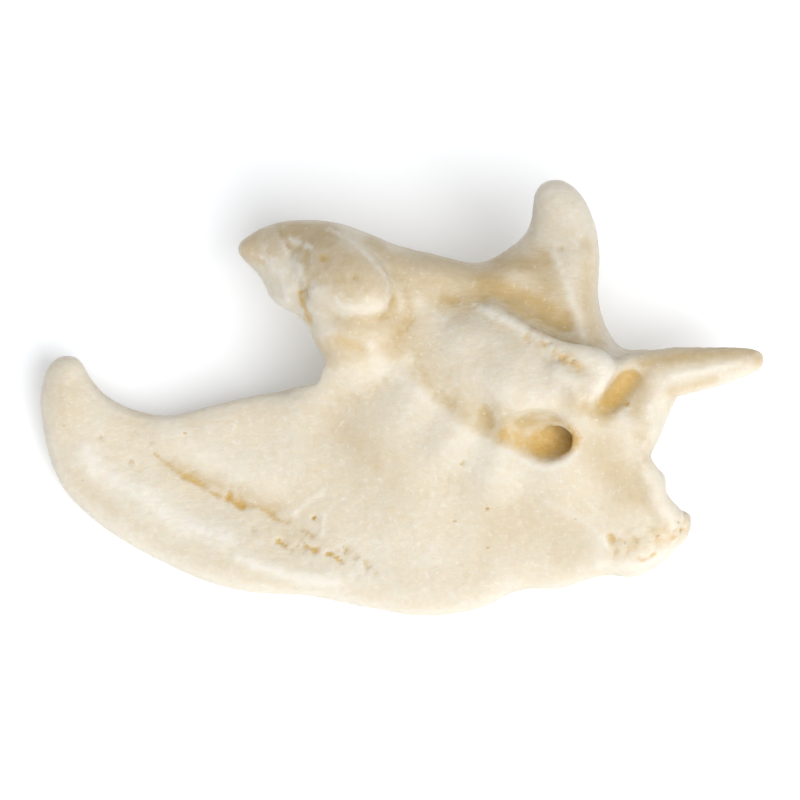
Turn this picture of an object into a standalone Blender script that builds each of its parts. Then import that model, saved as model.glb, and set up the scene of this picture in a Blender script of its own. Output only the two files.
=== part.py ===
"""Axis vertebra, the second neck bone of a dog or a like animal, lying on its side.

The bone is drawn in its own frame, in millimetres. U runs from the beak of the
blade towards the tail, V from the border of the blade towards the body, and W
out of the median plane, about which the bone is the same on both sides. At the
end the bone is laid down on the points that it would rest on.
"""
import math

import bmesh
import bpy
import numpy as np
from mathutils import Matrix, Vector
from mathutils.geometry import interpolate_bezier

MM = 0.001
BONE_NAME = "axis_vertebra"
BONE_COLOUR = (0.86, 0.80, 0.66, 1.0)
BONE_ROUGHNESS = 0.55

# How finely the pieces are made and fused.
SLAB_HALF = 1.0
SLAB_VOXEL = 0.5
FUSE_VOXEL = 0.30
SMOOTH_STEPS = 7
TRIANGLE_GOAL = 9000
CURVE_STEPS = 5

# The edge of the flat forms is rounded over this distance, down to a thin rim.
EDGE_REACH = 2.4
EDGE_RIM = 0.30

# Smoothing takes this much off an edge, so the outline starts that much larger.
SMOOTHING_LOSS = 0.17

# Outline in the median plane, as U and V, going round from the tip of the beak.
BLADE_UPPER_EDGE = [
    (-29.7, 2.9), (-28.5, 3.75), (-27.4, 3.4), (-26.5, 1.8), (-24.9, 0.2), (-22.7, -0.9),
    (-20.0, -1.4), (-15.9, -0.5), (-12.8, 0.2), (-9.2, 0.9), (-8.1, 1.7), (-7.3, 2.9),
]
NOTCH_AND_DENS = [
    (-7.0, 3.8), (-7.6, 4.6), (-7.9, 6.1), (-8.7, 7.1), (-10.2, 7.7), (-11.8, 10.6), (-13.2, 12.0),
    (-13.8, 12.9), (-12.8, 13.8), (-11.1, 14.7), (-8.5, 15.2), (-5.4, 14.9),
]
BODY_UPPER_EDGE = [(-2.6, 13.9), (0.0, 12.9), (3.4, 12.1), (6.9, 11.5), (9.5, 12.8), (11.1, 14.4)]
KEEL = [
    (11.45, 16.4), (11.8, 18.0), (13.2, 18.6), (15.0, 17.7), (16.2, 15.6), (16.8, 12.5), (16.7, 8.8),
    (17.4, 6.1), (18.8, 4.2), (21.4, 4.1),
]
ARCH_REAR_EDGE = [
    (24.0, 1.6), (23.2, -0.4), (22.0, -3.0), (21.1, -5.5), (22.3, -6.1), (22.4, -7.7), (23.2, -9.1),
    (24.6, -9.5), (24.7, -10.9), (22.9, -12.9),
]
BLADE_LOWER_EDGE = [
    (20.9, -14.5), (19.5, -14.9), (17.7, -14.7), (13.4, -15.9), (10.5, -15.9), (6.6, -17.6),
    (2.3, -18.2), (-3.1, -17.4), (-7.2, -16.6), (-13.2, -16.1), (-17.7, -14.8), (-22.2, -12.5),
    (-25.9, -10.1), (-28.2, -7.8), (-29.7, -4.7), (-30.3, -1.4), (-30.3, 1.2),
]

# Half of the width of the bone at places in the median plane: U, V, half width, reach.
BLADE_WIDTHS = [
    (-28.8, 0.5, 1.7, 2.6), (-26.5, -6.0, 1.6, 3.4), (-20.5, -3.6, 1.5, 3.0), (-17.0, -7.5, 1.15, 3.0),
    (-21.0, -11.0, 1.8, 3.0), (-13.5, -3.0, 1.35, 3.0), (-10.0, -9.5, 1.2, 2.8), (-13.0, -14.5, 1.9, 2.6),
    (-5.0, -6.0, 2.0, 3.2), (-7.0, 0.0, 2.6, 2.0), (-3.0, -15.0, 1.9, 3.4), (5.0, -14.5, 2.1, 3.4),
]
ARCH_WIDTHS = [
    (-0.5, -3.0, 4.6, 2.6), (3.5, -8.5, 3.4, 3.2), (10.0, -10.0, 3.9, 3.0), (15.5, -8.5, 5.4, 2.8),
    (12.5, -13.5, 2.6, 2.8), (18.0, -13.2, 4.2, 2.2), (22.6, -10.8, 5.2, 1.9), (18.5, -8.6, 5.9, 2.4),
    (20.5, -5.0, 7.0, 2.4), (1.2, -0.6, 6.1, 1.3), (4.2, -3.6, 6.7, 1.4), (8.2, -5.9, 7.1, 1.6),
    (13.5, -6.2, 7.6, 2.0), (17.6, -2.8, 8.2, 2.0), (21.5, 0.5, 7.3, 2.3),
]
BODY_WIDTHS = [
    (-5.0, 4.0, 6.4, 1.8), (-5.0, 6.2, 7.0, 1.5), (-12.2, 12.6, 2.4, 2.0), (-9.2, 11.4, 4.6, 1.6),
    (-4.2, 10.8, 6.2, 2.0), (1.4, 10.6, 5.6, 1.7), (-0.2, 8.8, 6.6, 1.2), (5.5, 10.0, 4.8, 2.2),
    (1.5, 5.6, 6.0, 1.4), (3.0, 2.2, 5.9, 1.2), (6.0, -0.6, 6.2, 1.1), (6.5, 4.6, 7.2, 1.8),
    (10.5, 3.4, 8.2, 2.0), (10.2, 0.2, 8.4, 1.6),
    (14.5, 1.2, 8.7, 1.9), (10.0, 8.6, 4.9, 1.8), (13.0, 7.4, 5.1, 1.8), (16.0, 6.4, 4.9, 1.6),
    (14.4, 11.0, 4.0, 2.0), (12.0, 14.0, 2.7, 1.8), (14.0, 15.5, 2.9, 1.8), (13.0, 18.0, 2.2, 1.6),
]

# Forms on each side, as U, V, W and a radius. W is mirrored for the other side.
FACET_CENTRE = (-5.0, 10.5, 4.8)
FACET_RADII = (5.5, 3.3, 3.0)
FACET_FORWARD_DEG = 36.0
FACET_TILT_DEG = 38.0
BROW_CENTRE = (-3.6, 6.0, 4.7)
BROW_RADII = (3.9, 2.6, 2.7)
SIDE_CREST = [
    (5.0, 8.4, 4.2, 0.6), (8.2, 6.8, 5.7, 0.8), (11.2, 5.0, 6.7, 1.0), (14.2, 3.5, 7.2, 1.3),
    (16.6, 2.8, 7.4, 1.5), (16.5, 1.3, 7.2, 1.6), (15.3, -0.1, 7.1, 1.6),
]
REAR_PROCESS = [
    (17.5, 1.6, 6.4, 1.6), (20.4, 2.1, 6.4, 2.1), (23.4, 2.4, 6.4, 2.2), (26.4, 2.75, 6.3, 1.85),
    (28.9, 3.2, 6.1, 1.45), (30.1, 3.35, 6.1, 1.15), (30.7, 3.4, 6.1, 0.6),
]
REAR_PROCESS_FLAT = 0.62
ARCH_RIM = [
    (20.8, 0.4, 6.0, 1.2), (20.6, -2.3, 5.9, 1.2), (20.0, -4.8, 5.8, 1.1), (21.1, -6.7, 5.5, 1.1),
    (21.6, -8.3, 5.2, 1.1), (23.2, -10.3, 4.4, 1.2),
]

# What is cut out: the canal for the cord of nerves, a canal and a hollow on each side,
# and the notch between the two halves of the arch at the tail end.
CORD_CANAL = [
    (-16.0, 5.6, 0.0, 3.7), (-6.0, 4.3, 0.0, 3.6), (8.0, 2.6, 0.0, 3.6), (16.0, 0.9, 0.0, 3.5),
    (21.0, -0.3, 0.0, 3.5), (30.0, -1.6, 0.0, 3.8),
]
CORD_CANAL_WIDEN = 1.16
SIDE_CANAL = [
    (5.6, -0.2, 9.6, 0.9), (8.8, -2.3, 8.5, 1.4), (11.8, -3.8, 6.8, 1.5), (13.6, -3.2, 6.0, 1.3),
    (15.2, -1.3, 5.8, 1.1), (17.0, 0.5, 6.4, 0.9),
]
SIDE_MOUTH_CENTRE = (11.4, -3.6, 8.2)
SIDE_MOUTH_RADII = (3.4, 2.8, 2.2)
SIDE_MOUTH_RAMP_DEG = 30.0
SIDE_HOLLOW_CENTRE = (18.9, 0.9, 8.1)
SIDE_HOLLOW_RADII = (1.3, 2.3, 1.2)
SIDE_SCOOP_CENTRE = (20.4, 1.2, 9.2)
SIDE_SCOOP_RADII = (2.3, 2.7, 1.6)
SIDE_FORMS_TURN_DEG = -30.0
ARCH_NOTCH = [
    (28.0, -15.4, 0.0, 1.7), (24.8, -12.8, 0.0, 1.9), (23.2, -9.6, 0.0, 2.2), (22.2, -6.0, 0.0, 2.4),
    (20.6, -3.0, 0.0, 2.2),
]


def link(name, mesh, collection):
    """Put a mesh into the scene as a named object."""
    item = bpy.data.objects.new(name, mesh)
    collection.objects.link(item)
    return item


def evaluated_mesh(item):
    """The mesh of an object with its modifiers applied, as a mesh of its own."""
    bpy.context.view_layer.update()
    graph = bpy.context.evaluated_depsgraph_get()
    return bpy.data.meshes.new_from_object(item.evaluated_get(graph))


def settle(item):
    """Apply the modifiers of a mesh object."""
    mesh = evaluated_mesh(item)
    item.modifiers.clear()
    item.data = mesh


def curve_to_mesh(curve_object, collection):
    """Replace a curve object by a closed mesh object of the same name."""
    mesh = evaluated_mesh(curve_object)
    shape = bmesh.new()
    shape.from_mesh(mesh)
    bmesh.ops.remove_doubles(shape, verts=shape.verts, dist=1e-4)
    bmesh.ops.recalc_face_normals(shape, faces=shape.faces)
    shape.to_mesh(mesh)
    shape.free()
    name = curve_object.name
    bpy.data.objects.remove(curve_object)
    return link(name, mesh, collection)


def voxel_remesh(item, size):
    """Rebuild an object's surface on an even grid."""
    remesh = item.modifiers.new("even grid", "REMESH")
    remesh.mode = "VOXEL"
    remesh.voxel_size = size
    settle(item)


def bone_outline():
    """The whole outline, once round."""
    spans = (BLADE_UPPER_EDGE, NOTCH_AND_DENS, BODY_UPPER_EDGE, KEEL, ARCH_REAR_EDGE, BLADE_LOWER_EDGE)
    return [point for span in spans for point in span]


def grown(points, reach):
    """A closed line of points moved outwards, where it goes round with its outside on the left."""
    result = []
    for before, here, after in zip(points[-1:] + points[:-1], points, points[1:] + points[:1]):
        step = Vector(after) - Vector(before)
        outward = Vector((-step.y, step.x)).normalized()
        result.append(tuple(Vector(here) + outward * reach))
    return result


def outline_slab(collection):
    """A flat slab of the outline, and the points along its smooth edge."""
    points = grown(bone_outline(), SMOOTHING_LOSS)
    data = bpy.data.curves.new("median slab", "CURVE")
    data.dimensions = "2D"
    data.fill_mode = "BOTH"
    data.extrude = SLAB_HALF
    data.resolution_u = CURVE_STEPS
    spline = data.splines.new("BEZIER")
    spline.bezier_points.add(len(points) - 1)
    for knot, (u, v) in zip(spline.bezier_points, points):
        knot.co = (u, v, 0.0)
        knot.handle_left_type = "AUTO"
        knot.handle_right_type = "AUTO"
    spline.use_cyclic_u = True
    slab = link("median slab", data, collection)
    bpy.context.view_layer.update()
    edge = []
    knots = list(spline.bezier_points)
    for first, second in zip(knots, knots[1:] + knots[:1]):
        stretch = interpolate_bezier(
            first.co, first.handle_right, second.handle_left, second.co, CURVE_STEPS + 1)
        edge.extend((p.x, p.y) for p in stretch[:-1])
    return curve_to_mesh(slab, collection), np.array(edge)


def distance_to_edge(places, edge):
    """How far each place lies from the closed line of the edge."""
    start = edge
    along = np.roll(edge, -1, axis=0) - start
    length_squared = np.maximum((along ** 2).sum(axis=1), 1e-9)
    nearest = np.full(len(places), np.inf)
    for origin, step, squared in zip(start, along, length_squared):
        offset = places - origin
        share = np.clip(offset @ step / squared, 0.0, 1.0)
        gap = np.linalg.norm(offset - share[:, None] * step, axis=1)
        nearest = np.minimum(nearest, gap)
    return nearest


def half_width(places):
    """Half the width of the bone at each place, blended from the named places."""
    total = np.zeros(len(places))
    weight_sum = np.zeros(len(places))
    for u, v, width, reach in BLADE_WIDTHS + ARCH_WIDTHS + BODY_WIDTHS:
        squared = (places[:, 0] - u) ** 2 + (places[:, 1] - v) ** 2
        weight = np.exp(-squared / (2.0 * reach ** 2)) + 1e-7
        total += weight * width
        weight_sum += weight
    return total / weight_sum


def swell_slab(slab, edge):
    """Give the flat slab the width of the bone, with its edge rounded."""
    mesh = slab.data
    flat = np.empty(len(mesh.vertices) * 3)
    mesh.vertices.foreach_get("co", flat)
    spots = flat.reshape(-1, 3)
    inward = np.clip(distance_to_edge(spots[:, :2], edge) / EDGE_REACH, 0.0, 1.0)
    rounding = EDGE_RIM + (1.0 - EDGE_RIM) * np.sqrt(1.0 - (1.0 - inward) ** 2)
    spots[:, 2] *= half_width(spots[:, :2]) * rounding / SLAB_HALF
    mesh.vertices.foreach_set("co", spots.ravel())
    mesh.update()


def tube(name, path, collection, side=1.0, flat=1.0):
    """A tapered round form along a path, flattened towards its own middle in W."""
    data = bpy.data.curves.new(name, "CURVE")
    data.dimensions = "3D"
    data.bevel_depth = 1.0
    data.bevel_resolution = 3
    data.use_fill_caps = True
    data.resolution_u = CURVE_STEPS
    spline = data.splines.new("BEZIER")
    spline.bezier_points.add(len(path) - 1)
    for knot, (u, v, w, radius) in zip(spline.bezier_points, path):
        knot.co = (u, v, w)
        knot.radius = radius
        knot.handle_left_type = "AUTO"
        knot.handle_right_type = "AUTO"
    item = curve_to_mesh(link(name, data, collection), collection)
    middle = sum(point[2] for point in path) / len(path)
    for vertex in item.data.vertices:
        vertex.co.z = middle + (vertex.co.z - middle) * flat
    if side < 0.0:
        mirror_mesh(item.data)
    return item


def mirror_mesh(mesh):
    """Turn a mesh into its mirror image across the median plane."""
    mesh.transform(Matrix.Scale(-1.0, 4, (0.0, 0.0, 1.0)))
    mesh.flip_normals()


def ball(name, centre, radii, collection, side=1.0, turns=()):
    """An egg-shaped form, from a sphere that is stretched, turned about its axes and placed."""
    shape = bmesh.new()
    bmesh.ops.create_uvsphere(shape, u_segments=28, v_segments=16, radius=1.0)
    bmesh.ops.scale(shape, vec=radii, verts=shape.verts)
    for axis, degrees in turns:
        turn = Matrix.Rotation(math.radians(degrees), 3, axis)
        bmesh.ops.rotate(shape, matrix=turn, verts=shape.verts)
    bmesh.ops.translate(shape, vec=centre, verts=shape.verts)
    mesh = bpy.data.meshes.new(name)
    shape.to_mesh(mesh)
    shape.free()
    if side < 0.0:
        mirror_mesh(mesh)
    return link(name, mesh, collection)


def build_forms(collection):
    """Every form that adds bone, each one closed."""
    slab, edge = outline_slab(collection)
    voxel_remesh(slab, SLAB_VOXEL)
    swell_slab(slab, edge)
    for word, side in (("near", 1.0), ("far", -1.0)):
        facing = (("Y", -FACET_FORWARD_DEG), ("Z", -FACET_TILT_DEG))
        ball(f"facet {word}", FACET_CENTRE, FACET_RADII, collection, side, facing)
        ball(f"brow {word}", BROW_CENTRE, BROW_RADII, collection, side)
        tube(f"side crest {word}", SIDE_CREST, collection, side)
        tube(f"rear process {word}", REAR_PROCESS, collection, side, REAR_PROCESS_FLAT)
        tube(f"arch rim {word}", ARCH_RIM, collection, side)


def build_cutters(collection):
    """Every form that takes bone away."""
    canal = tube("cord canal", CORD_CANAL, collection)
    canal.data.transform(Matrix.Scale(CORD_CANAL_WIDEN, 4, (0.0, 0.0, 1.0)))
    for word, side in (("near", 1.0), ("far", -1.0)):
        tube(f"side canal {word}", SIDE_CANAL, collection, side)
        for form, centre, radii, turn in (
                ("mouth", SIDE_MOUTH_CENTRE, SIDE_MOUTH_RADII, ("X", SIDE_MOUTH_RAMP_DEG)),
                ("hollow", SIDE_HOLLOW_CENTRE, SIDE_HOLLOW_RADII, ("Z", SIDE_FORMS_TURN_DEG)),
                ("scoop", SIDE_SCOOP_CENTRE, SIDE_SCOOP_RADII, ("Z", SIDE_FORMS_TURN_DEG))):
            ball(f"side {form} {word}", centre, radii, collection, side, (turn,))
    tube("arch notch", ARCH_NOTCH, collection)


def combine(item, operation, collection):
    """Join a collection to an object or cut it from it, and remove the collection's objects."""
    boolean = item.modifiers.new(operation.lower(), "BOOLEAN")
    boolean.operand_type = "COLLECTION"
    boolean.collection = collection
    boolean.operation = operation
    boolean.solver = "MANIFOLD"
    settle(item)
    for piece in list(collection.objects):
        bpy.data.objects.remove(piece)
    bpy.data.collections.remove(collection)


def keep_largest_surface(item):
    """Drop every closed surface of a mesh but the largest one."""
    shape = bmesh.new()
    shape.from_mesh(item.data)
    waiting = set(shape.faces)
    islands = []
    while waiting:
        first = waiting.pop()
        island = {first}
        border = [first]
        while border:
            face = border.pop()
            for line in face.edges:
                for other in line.link_faces:
                    if other in waiting:
                        waiting.discard(other)
                        island.add(other)
                        border.append(other)
        islands.append(island)
    largest = max(islands, key=len)
    loose = [face for island in islands if island is not largest for face in island]
    bmesh.ops.delete(shape, geom=loose, context="FACES")
    shape.to_mesh(item.data)
    shape.free()


def finish_surface(item):
    """Fuse the pieces into one even skin, smooth it and thin its triangles."""
    voxel_remesh(item, FUSE_VOXEL)
    keep_largest_surface(item)
    smooth = item.modifiers.new("smooth", "SMOOTH")
    smooth.factor = 0.5
    smooth.iterations = SMOOTH_STEPS
    settle(item)
    triangulate = item.modifiers.new("triangles", "TRIANGULATE")
    triangulate.min_vertices = 4
    settle(item)
    thin = item.modifiers.new("thin", "DECIMATE")
    thin.ratio = TRIANGLE_GOAL / len(item.data.polygons)
    thin.use_collapse_triangulate = True
    settle(item)
    keep_largest_surface(item)
    item.data.shade_smooth()


def centre_of_mass(mesh):
    """The centre of the volume inside a closed mesh."""
    mesh.calc_loop_triangles()
    volume = 0.0
    moment = Vector((0.0, 0.0, 0.0))
    for triangle in mesh.loop_triangles:
        a, b, c = (mesh.vertices[index].co for index in triangle.vertices)
        part = a.dot(b.cross(c)) / 6.0
        volume += part
        moment += part * (a + b + c) / 4.0
    return moment / volume


def resting_normal(mesh):
    """The outward normal of the hull's face that the bone rests on with its far side down."""
    centre = centre_of_mass(mesh)
    hull = bmesh.new()
    hull.from_mesh(mesh)
    found = bmesh.ops.convex_hull(hull, input=hull.verts)
    faces = [part for part in found["geom"] if isinstance(part, bmesh.types.BMFace)]
    best = None
    for face in faces:
        normal = face.normal.copy()
        corners = [vertex.co for vertex in face.verts]
        if normal.dot(corners[0] - centre) < 0.0:
            normal.negate()
            corners.reverse()
        foot = centre + normal * normal.dot(corners[0] - centre)
        rounds = [
            (after - before).cross(foot - before).dot(normal)
            for before, after in zip(corners, corners[1:] + corners[:1])
        ]
        stable = min(rounds) > 0.0 or max(rounds) < 0.0
        if stable and (best is None or normal.z < best.z):
            best = normal
    hull.free()
    return best


def lay_down(item):
    """Lay the bone on its far side, beak towards -X, its box's bottom centre at the origin."""
    down = resting_normal(item.data)
    turn = down.rotation_difference(Vector((0.0, 0.0, -1.0))).to_matrix()
    length = turn @ Vector((1.0, 0.0, 0.0))
    level = Matrix.Rotation(-math.atan2(length.y, length.x), 3, "Z")
    pose = (level @ turn).to_4x4()
    corners = [pose @ vertex.co for vertex in item.data.vertices]
    low = [min(corner[axis] for corner in corners) for axis in range(3)]
    high = [max(corner[axis] for corner in corners) for axis in range(3)]
    shift = Vector((-(low[0] + high[0]) / 2.0, -(low[1] + high[1]) / 2.0, -low[2])) * MM
    item.data.transform(Matrix.Scale(MM, 4))
    item.matrix_world = Matrix.Translation(shift) @ pose


def bone_material():
    """Cream bone with a soft sheen."""
    material = bpy.data.materials.new("bone")
    material.use_nodes = True
    shader = material.node_tree.nodes["Principled BSDF"]
    shader.inputs["Base Color"].default_value = BONE_COLOUR
    shader.inputs["Roughness"].default_value = BONE_ROUGHNESS
    shader.inputs["Metallic"].default_value = 0.0
    return material


def build_bone():
    """Model the bone as one closed solid and lay it down."""
    home = bpy.data.collections.new("vertebra")
    bpy.context.scene.collection.children.link(home)
    forms = bpy.data.collections.new("forms")
    cutters = bpy.data.collections.new("cutters")
    for collection in (forms, cutters):
        bpy.context.scene.collection.children.link(collection)
    build_forms(forms)
    build_cutters(cutters)
    core = forms.objects["median slab"]
    bone = link(BONE_NAME, core.data.copy(), home)
    bpy.data.objects.remove(core)
    combine(bone, "UNION", forms)
    combine(bone, "DIFFERENCE", cutters)
    finish_surface(bone)
    lay_down(bone)
    bone.data.materials.append(bone_material())
    return bone


for leftover in list(bpy.data.objects):
    bpy.data.objects.remove(leftover)
build_bone()
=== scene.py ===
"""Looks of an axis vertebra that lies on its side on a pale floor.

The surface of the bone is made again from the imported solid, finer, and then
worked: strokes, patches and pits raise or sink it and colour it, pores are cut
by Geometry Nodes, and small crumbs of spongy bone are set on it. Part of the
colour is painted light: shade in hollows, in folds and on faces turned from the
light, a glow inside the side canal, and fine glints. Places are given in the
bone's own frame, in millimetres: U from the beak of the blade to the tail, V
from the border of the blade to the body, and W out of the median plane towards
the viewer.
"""
from __future__ import annotations

import logging
import math
from dataclasses import dataclass, field
from enum import Enum

import bmesh
import bpy
import numpy as np
from mathutils import Euler, Matrix, Vector, noise
from mathutils.bvhtree import BVHTree

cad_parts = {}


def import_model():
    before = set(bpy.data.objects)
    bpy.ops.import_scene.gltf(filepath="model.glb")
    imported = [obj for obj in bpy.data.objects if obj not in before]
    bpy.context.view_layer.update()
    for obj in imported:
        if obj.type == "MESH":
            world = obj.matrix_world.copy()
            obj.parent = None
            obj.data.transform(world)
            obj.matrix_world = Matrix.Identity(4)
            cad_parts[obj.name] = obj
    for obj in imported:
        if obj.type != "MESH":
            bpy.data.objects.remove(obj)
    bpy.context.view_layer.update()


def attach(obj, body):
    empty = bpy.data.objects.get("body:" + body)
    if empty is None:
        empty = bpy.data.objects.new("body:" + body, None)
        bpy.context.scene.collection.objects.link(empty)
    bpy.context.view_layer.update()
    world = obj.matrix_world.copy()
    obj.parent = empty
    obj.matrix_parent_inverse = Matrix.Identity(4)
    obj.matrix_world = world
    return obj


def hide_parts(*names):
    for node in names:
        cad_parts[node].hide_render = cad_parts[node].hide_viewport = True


LOG = logging.getLogger("axis_vertebra")
MM = 0.001
NODE = "axis_vertebra"
BODY = "root"
SEED = 7
# Layers that the marks colour: the tan and the ochre carry stain and also painted shade.
STAINS_AND_SHADE = ("ochre", "chalk", "tan", "pores")
COLOURS = ("Cream", "Peach", "Tan", "Chalk", "Yellow", "Brown")
GOLDEN_TURN = 2.39996
MARK_REACH = 2.4
ROUND_FALL = 1.6
SHARP_POWER = 0.8
STEP_FALL = 1.2
FLAT_EDGE = 0.85
FLAT_HARDNESS = 9.0
GAP_SCALE_MM = 0.7


class Side(Enum):
    """Which sides of the median plane a mark is on."""

    NEAR = "the side that the photo shows"
    BOTH = "both sides"


class Profile(Enum):
    """How a mark falls off from its middle to its edge."""

    ROUND = "round"
    SHARP = "sharp"
    FLAT = "flat"
    STEP = "step"


@dataclass(frozen=True)
class BonePose:
    """How the bone's own frame lies in the frame of the model."""

    roll_deg: float = 13.495
    pitch_deg: float = -7.209
    shift_mm: tuple[float, float, float] = (-0.370, -0.217, 6.897)

    def matrix(self) -> Matrix:
        """The turn and shift from the bone's frame to the model's, both in metres."""
        turn = Euler((math.radians(self.roll_deg), math.radians(self.pitch_deg), 0.0)).to_matrix()
        return Matrix.Translation(Vector(self.shift_mm) * MM) @ turn.to_4x4()


@dataclass(frozen=True)
class Mark:
    """A stroke along a line of U, V points, or a spot where there is one point.

    Attributes:
        name: What the mark is on the real bone.
        line: The points of its middle line. A step stands up on the left of its line.
        radius: How far it reaches to either side, in millimetres.
        lift: How far it stands out, or sinks in where it is negative.
        profile: How it falls off.
        ochre, chalk, tan, pores: How much of each stain it carries, from 0 to 1. On some marks the tan and
            the ochre are partly painted shade.
        side: The side of the bone that it is on.
        ragged: How much its reach wanders, from 0 to 1.
        broken: How much of it is missing in places, from 0 to 1.
    """

    name: str
    line: tuple[tuple[float, float], ...]
    radius: float
    lift: float = 0.0
    profile: Profile = Profile.ROUND
    ochre: float = 0.0
    chalk: float = 0.0
    tan: float = 0.0
    pores: float = 0.0
    side: Side = Side.BOTH
    ragged: float = 0.25
    broken: float = 0.0


def blade_marks() -> list[Mark]:
    """The groove, the bands and the spongy spots on the blade.

    Returns:
        The marks, from the beak towards the tail.
    """
    groove = ((-22.4, -2.7), (-20.8, -4.5), (-18.4, -6.4), (-15.6, -8.0), (-13.0, -8.9), (-9.6, -10.3))
    halo = ((-19.4, -5.4), (-17.4, -6.3), (-14.6, -7.7), (-12.6, -8.4), (-10.6, -9.3))
    return [
        # Lee of the groove: its faint tan is partly painted shade along the trough and partly stain.
        Mark("lee of the groove", groove, 2.2, -0.18, tan=0.12),
        Mark("halo of the groove", halo, 1.0, -0.05, ochre=0.15, tan=0.55, ragged=0.6, broken=0.3),
        Mark("start of the groove", ((-22.4, -2.7), (-21.0, -3.6)), 0.32, -0.08, ochre=0.26, ragged=0.6,
             broken=0.5),
        Mark("thin line of the groove", ((-20.9, -4.5), (-19.5, -5.6), (-18.3, -6.4)), 0.26, -0.10,
             ochre=0.42, ragged=0.6, broken=0.3),
        Mark("blotch in the groove", ((-18.3, -6.4), (-17.4, -6.9), (-16.7, -7.2)), 0.50, -0.12,
             ochre=0.55, ragged=0.8, broken=0.4),
        Mark("pits in the groove", ((-16.0, -7.8), (-15.2, -8.2)), 0.34, -0.12, ochre=0.52, ragged=0.8,
             broken=0.5),
        Mark("deepest part of the groove", ((-14.5, -8.3), (-13.9, -8.7), (-13.2, -9.0)), 0.48, -0.20,
             ochre=0.78, ragged=0.9, broken=0.2),
        Mark("fading part of the groove", ((-13.0, -8.9), (-11.9, -9.2), (-10.9, -9.6)), 0.50, -0.12,
             ochre=0.34, tan=0.4, ragged=0.7, broken=0.4),
        Mark("tail of the groove", ((-11.0, -9.9), (-9.6, -10.4)), 0.38, -0.10, ochre=0.38, ragged=0.7,
             broken=0.4),
        Mark("whitish band", ((-26.6, -4.4), (-26.0, -5.8), (-22.1, -7.7), (-18.4, -10.3), (-14.7, -11.6)),
             1.2, 0.16, chalk=1.0, broken=0.2),
        Mark("edge of the band", ((-23.8, -6.9), (-22.0, -8.4), (-18.1, -11.2), (-14.7, -12.8)), 0.26,
             0.06, chalk=0.7, ragged=0.4, broken=0.4),
        Mark("second whitish band", ((-13.6, -13.2), (-12.5, -13.8), (-9.1, -15.0), (-5.6, -15.3)), 0.9,
             0.14, chalk=0.85, broken=0.2),
        Mark("bank above the groove", ((-19.5, -2.4), (-15.5, -5.2), (-11.0, -6.6)), 1.7, 0.14, chalk=0.25),
        Mark("border band", ((-27.6, -6.6), (-24.4, -9.2), (-20.0, -12.2), (-15.0, -13.8), (-9.0, -15.6)),
             0.9, -0.05, tan=0.18, broken=0.3),
        Mark("thin ridge", ((-9.1, -9.7), (-7.8, -8.6), (-6.5, -7.6)), 0.26, 0.05, chalk=0.45, broken=0.3),
        Mark("thin ridge beside the pin hole", ((-6.6, -11.6), (-6.4, -9.6)), 0.26, 0.06, chalk=0.4,
             broken=0.4),
        Mark("spongy field", ((-9.8, -12.3), (-6.4, -12.8), (-3.0, -13.6)), 1.3, -0.04, pores=0.9,
             chalk=0.2, ochre=0.12, broken=0.5),
        Mark("yellow ground of the sponge", ((-9.6, -11.6), (-7.6, -11.6), (-4.6, -12.9)), 1.1, 0.0,
             ochre=0.14, tan=0.3, ragged=0.7, broken=0.4),
        Mark("spongy spot", ((-10.2, -12.0), (-9.6, -12.4), (-9.1, -12.7)), 0.36, -0.16, ochre=0.66,
             ragged=1.0, broken=0.6),
        Mark("spongy spot behind", ((-7.9, -12.5), (-7.1, -12.8)), 0.32, -0.14, ochre=0.60, ragged=1.0,
             broken=0.5),
        Mark("spongy spot above", ((-8.2, -11.0), (-7.5, -11.5)), 0.34, -0.12, ochre=0.36, ragged=0.8,
             broken=0.4),
        Mark("spongy slit", ((-6.2, -13.0), (-5.6, -13.2), (-4.9, -13.7)), 0.24, -0.15, ochre=0.70,
             ragged=0.8, broken=0.3),
        Mark("specks behind the slit", ((-4.6, -12.6), (-3.4, -13.6), (-2.2, -14.6)), 0.6, -0.10,
             ochre=0.30, pores=0.7, ragged=0.8, broken=0.8),
        Mark("pin hole", ((-7.3, -10.0),), 0.20, -0.30, ochre=0.85, side=Side.NEAR),
        Mark("small dent", ((-12.4, -11.0),), 0.30, -0.10, ochre=0.30, side=Side.NEAR),
        Mark("dent near the beak", ((-25.4, -3.2),), 0.32, -0.12, ochre=0.28, side=Side.NEAR),
        Mark("second dent near the beak", ((-22.8, -5.2),), 0.35, -0.10, ochre=0.30, side=Side.NEAR),
        Mark("hollow of the blade", ((-4.5, -3.0), (-1.0, -6.0)), 3.4, -0.10, tan=0.38),
        Mark("beak", ((-28.6, 2.0), (-28.2, -1.0)), 1.6, 0.10, tan=0.25),
    ]


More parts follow.
